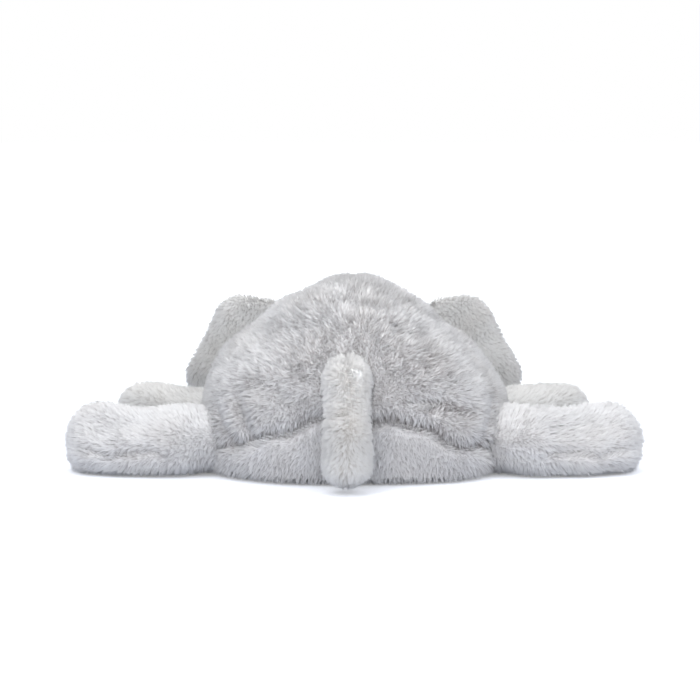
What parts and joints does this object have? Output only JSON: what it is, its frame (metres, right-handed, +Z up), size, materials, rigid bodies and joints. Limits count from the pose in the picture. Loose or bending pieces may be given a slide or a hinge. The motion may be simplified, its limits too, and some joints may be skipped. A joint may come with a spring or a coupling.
{
  "type": "stuffed elephant",
  "caption": "Plush elephant lying flat on its belly with spread legs, broad hanging ears, a trunk resting on the floor and a short hanging tail.",
  "frame": {"origin": "on the flat of the belly that rests on the floor, below the widest part of the rump, on the plane of symmetry", "axes": "+Z up, the elephant faces -Y, +X is the elephant's own left, +Y points out of the tail"},
  "size_m": [0.3848, 0.4791, 0.1285],
  "materials": {
    "grey_fur": "short dense pile, soft silver grey",
    "tail_fur": "short dense pile, paler grey",
    "ear_back_fur": "short dense pile, silver grey",
    "ear_front_fur": "shorter pile, silver grey",
    "polyester_filling": "loose white fibre",
    "bean_pouch_cloth": "plain woven cloth",
    "joint_wad": "firm rolled fibre",
    "eye_bead": "polished black",
    "washer_plastic": "plain moulded"
  },
  "bodies": {
    "body": {"back_left_panel": "grey_fur", "back_right_panel": "grey_fur", "belly_panel": "grey_fur", "belly_bean_pouch": "bean_pouch_cloth", "body_stuffing": "polyester_filling"},
    "hind_left_leg_hip": {"hind_left_leg_hip_wad": "joint_wad"},
    "hind_left_leg": {"hind_left_leg_upper_panel": "grey_fur", "hind_left_leg_under_panel": "grey_fur", "hind_left_leg_stuffing": "polyester_filling", "hind_left_leg_bean_pouch": "bean_pouch_cloth"},
    "hind_right_leg_hip": {"hind_right_leg_hip_wad": "joint_wad"},
    "hind_right_leg": {"hind_right_leg_upper_panel": "grey_fur", "hind_right_leg_under_panel": "grey_fur", "hind_right_leg_stuffing": "polyester_filling", "hind_right_leg_bean_pouch": "bean_pouch_cloth"},
    "front_left_leg_hip": {"front_left_leg_hip_wad": "joint_wad"},
    "front_left_leg": {"front_left_leg_upper_panel": "grey_fur", "front_left_leg_under_panel": "grey_fur", "front_left_leg_stuffing": "polyester_filling", "front_left_leg_bean_pouch": "bean_pouch_cloth"},
    "front_right_leg_hip": {"front_right_leg_hip_wad": "joint_wad"},
    "front_right_leg": {"front_right_leg_upper_panel": "grey_fur", "front_right_leg_under_panel": "grey_fur", "front_right_leg_stuffing": "polyester_filling", "front_right_leg_bean_pouch": "bean_pouch_cloth"},
    "neck": {"neck_wad": "joint_wad"},
    "head": {"head_left_panel": "grey_fur", "head_right_panel": "grey_fur", "head_gusset": "grey_fur", "chin_panel": "grey_fur", "head_stuffing": "polyester_filling", "left_eye": "eye_bead", "right_eye": "eye_bead", "left_eye_washer": "washer_plastic", "right_eye_washer": "washer_plastic"},
    "left_ear": {"left_ear_back_panel": "ear_back_fur", "left_ear_front_panel": "ear_front_fur", "left_ear_batting": "polyester_filling"},
    "right_ear": {"right_ear_back_panel": "ear_back_fur", "right_ear_front_panel": "ear_front_fur", "right_ear_batting": "polyester_filling"},
    "nose_base": {"nose_base_upper_panel": "grey_fur", "nose_base_under_panel": "grey_fur", "nose_base_stuffing": "polyester_filling"},
    "nose_tip": {"nose_tip_upper_panel": "grey_fur", "nose_tip_under_panel": "grey_fur", "nose_tip_stuffing": "polyester_filling"},
    "tail_base": {"tail_base_cover": "tail_fur", "tail_base_stuffing": "polyester_filling"},
    "tail_tip": {"tail_tip_cover": "tail_fur", "tail_tip_stuffing": "polyester_filling"}
  },
  "joints": [
    {"name": "hind_left_leg_sweep", "type": "hinge", "parent": "body", "child": "hind_left_leg_hip", "pos_m": [0.11905, 0.0481, 0.022], "axis": [0, 0, 1], "range_deg": [-30, 25]},
    {"name": "hind_left_leg_lift", "type": "hinge", "parent": "hind_left_leg_hip", "child": "hind_left_leg", "pos_m": [0.11905, 0.0481, 0.022], "axis": [-0.342, -0.9397, 0], "range_deg": [0, 50]},
    {"name": "hind_right_leg_sweep", "type": "hinge", "parent": "body", "child": "hind_right_leg_hip", "pos_m": [-0.11905, 0.0481, 0.022], "axis": [0, 0, -1], "range_deg": [-30, 25]},
    {"name": "hind_right_leg_lift", "type": "hinge", "parent": "hind_right_leg_hip", "child": "hind_right_leg", "pos_m": [-0.11905, 0.0481, 0.022], "axis": [-0.342, 0.9397, 0], "range_deg": [0, 50]},
    {"name": "front_left_leg_sweep", "type": "hinge", "parent": "body", "child": "front_left_leg_hip", "pos_m": [0.08728, -0.10842, 0.019], "axis": [0, 0, 1], "range_deg": [-15, 25]},
    {"name": "front_left_leg_lift", "type": "hinge", "parent": "front_left_leg_hip", "child": "front_left_leg", "pos_m": [0.08728, -0.10842, 0.019], "axis": [-0.2588, -0.9659, 0], "range_deg": [0, 50]},
    {"name": "front_right_leg_sweep", "type": "hinge", "parent": "body", "child": "front_right_leg_hip", "pos_m": [-0.08728, -0.10842, 0.019], "axis": [0, 0, -1], "range_deg": [-15, 25]},
    {"name": "front_right_leg_lift", "type": "hinge", "parent": "front_right_leg_hip", "child": "front_right_leg", "pos_m": [-0.08728, -0.10842, 0.019], "axis": [-0.2588, 0.9659, 0], "range_deg": [0, 50]},
    {"name": "head_turn", "type": "hinge", "parent": "body", "child": "neck", "pos_m": [0, -0.16701, 0.05611], "axis": [0, 0, 1], "range_deg": [-12, 12]},
    {"name": "head_nod", "type": "hinge", "parent": "neck", "child": "head", "pos_m": [0, -0.16701, 0.05611], "axis": [-1, 0, 0], "range_deg": [0, 25]},
    {"name": "left_ear_flap", "type": "hinge", "parent": "head", "child": "left_ear", "pos_m": [0.0574, -0.19203, 0.048], "axis": [0, 0, 1], "range_deg": [-40, 20]},
    {"name": "right_ear_flap", "type": "hinge", "parent": "head", "child": "right_ear", "pos_m": [-0.0574, -0.19203, 0.048], "axis": [0, 0, -1], "range_deg": [-40, 20]},
    {"name": "nose_swing", "type": "hinge", "parent": "head", "child": "nose_base", "pos_m": [0, -0.25662, 0.02], "axis": [0, 0, 1], "range_deg": [-25, 25]},
    {"name": "nose_curl", "type": "hinge", "parent": "nose_base", "child": "nose_tip", "pos_m": [0, -0.3017, 0.0175], "axis": [-1, 0, 0], "range_deg": [0, 60]},
    {"name": "tail_lift", "type": "hinge", "parent": "body", "child": "tail_base", "pos_m": [0, 0.11227, 0.07199], "axis": [1, 0, 0], "range_deg": [0, 100]},
    {"name": "tail_swing", "type": "hinge", "parent": "tail_base", "child": "tail_tip", "pos_m": [0, 0.12871, 0.03508], "axis": [0, 0.9986, 0.0523], "range_deg": [-35, 35]}
  ]
}
